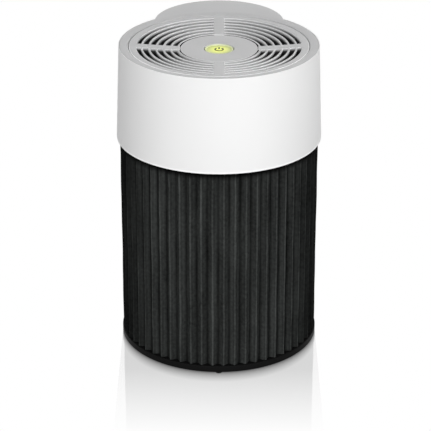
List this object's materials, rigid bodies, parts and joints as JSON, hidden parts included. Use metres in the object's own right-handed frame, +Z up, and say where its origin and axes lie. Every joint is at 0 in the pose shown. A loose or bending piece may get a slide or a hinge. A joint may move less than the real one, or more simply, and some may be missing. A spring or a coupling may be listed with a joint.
{
  "type": "air purifier",
  "caption": "Round tower air purifier: pleated filter drum under a white cone casing, dished grille on top with a lit button, and a rear carrying lobe.",
  "frame": {"origin": "on the floor under the middle of the whole box, 21 mm behind the fan axis", "axes": "+Z up along the fan axis, -Y the front, +Y the rear with the carrying lobe, +X to the right seen from the front"},
  "size_m": [0.268, 0.31, 0.412],
  "materials": {
    "shell_white": "satin white moulded casing",
    "top_grey": "light grey fine-textured moulding",
    "base_black": "satin black moulding",
    "inner_dark": "dark grey inner moulding",
    "button_lime": "translucent lime, lit from below",
    "light_guide": "milky clear",
    "foot_rubber": "matte",
    "sleeve_textile": "anthracite woven sleeve, fluted over the pleats",
    "filter_paper": "pleated filter paper",
    "carbon_felt": "carbon felt",
    "gasket_foam": "soft foam seal",
    "steel": "zinc-plated",
    "motor_iron": "laminated iron",
    "copper_wire": "enamelled copper winding",
    "circuit_board": "green solder mask",
    "lead_black": "insulated wire"
  },
  "bodies": {
    "base": {"base_plate": "base_black", "foot_front": "foot_rubber", "foot_rear_right": "foot_rubber", "foot_rear_left": "foot_rubber"},
    "filter": {"filter_bottom_cap": "base_black", "filter_core": "inner_dark", "carbon_layer": "carbon_felt", "filter_media": "filter_paper", "prefilter_sleeve": "sleeve_textile", "filter_top_cap": "base_black", "filter_gasket": "gasket_foam"},
    "housing": {"upper_shell": "shell_white", "top_rim": "top_grey", "handle_grip": "inner_dark", "top_grille": "top_grey", "control_disc": "top_grey", "control_tray": "inner_dark", "control_board": "circuit_board", "tact_switch": "inner_dark", "light_guide": "light_guide", "button_spring": "steel", "fan_deck": "inner_dark", "deck_screw_1": "steel", "deck_screw_2": "steel", "deck_screw_3": "steel", "deck_screw_4": "steel", "inlet_ring": "inner_dark", "filter_cage": "inner_dark", "lock_ring": "inner_dark", "cage_screw_1": "steel", "cage_screw_2": "steel", "cage_screw_3": "steel", "motor_stator": "motor_iron", "stator_windings": "copper_wire", "motor_mount": "inner_dark", "bearing_lower": "steel", "bearing_upper": "steel", "mount_screw_1": "steel", "mount_screw_2": "steel", "mount_screw_3": "steel", "guide_vanes": "inner_dark", "power_box": "base_black", "power_box_cover": "base_black", "power_board": "circuit_board", "transformer": "copper_wire", "capacitor": "inner_dark", "power_inlet": "base_black", "inlet_pin_left": "steel", "inlet_pin_right": "steel", "air_sensor": "inner_dark", "motor_connector": "shell_white", "motor_lead": "lead_black", "control_lead": "lead_black"},
    "impeller": {"impeller": "base_black", "motor_rotor": "steel", "rotor_magnet": "motor_iron", "motor_shaft": "steel", "impeller_nut": "steel", "shaft_clip": "steel"},
    "button": {"power_button": "button_lime"}
  },
  "joints": [
    {"name": "base_twist", "type": "hinge", "parent": "base", "child": "filter", "pos_m": [0, -0.021, 0.011], "axis": [0, 0, 1], "range_deg": [0, 30]},
    {"name": "housing_lift", "type": "slide", "parent": "filter", "child": "housing", "axis": [0, 0, 1], "range_m": [0, 0.285]},
    {"name": "fan_spin", "type": "hinge", "parent": "housing", "child": "impeller", "pos_m": [0, -0.021, 0.36], "axis": [0, 0, 1], "continuous": true},
    {"name": "power_button_press", "type": "slide", "parent": "housing", "child": "button", "axis": [0, 0, -1], "range_m": [0, 0.0015], "stiffness_N_per_m": 600, "springref_m": -0.0015, "deforming": ["button_spring"]}
  ]
}
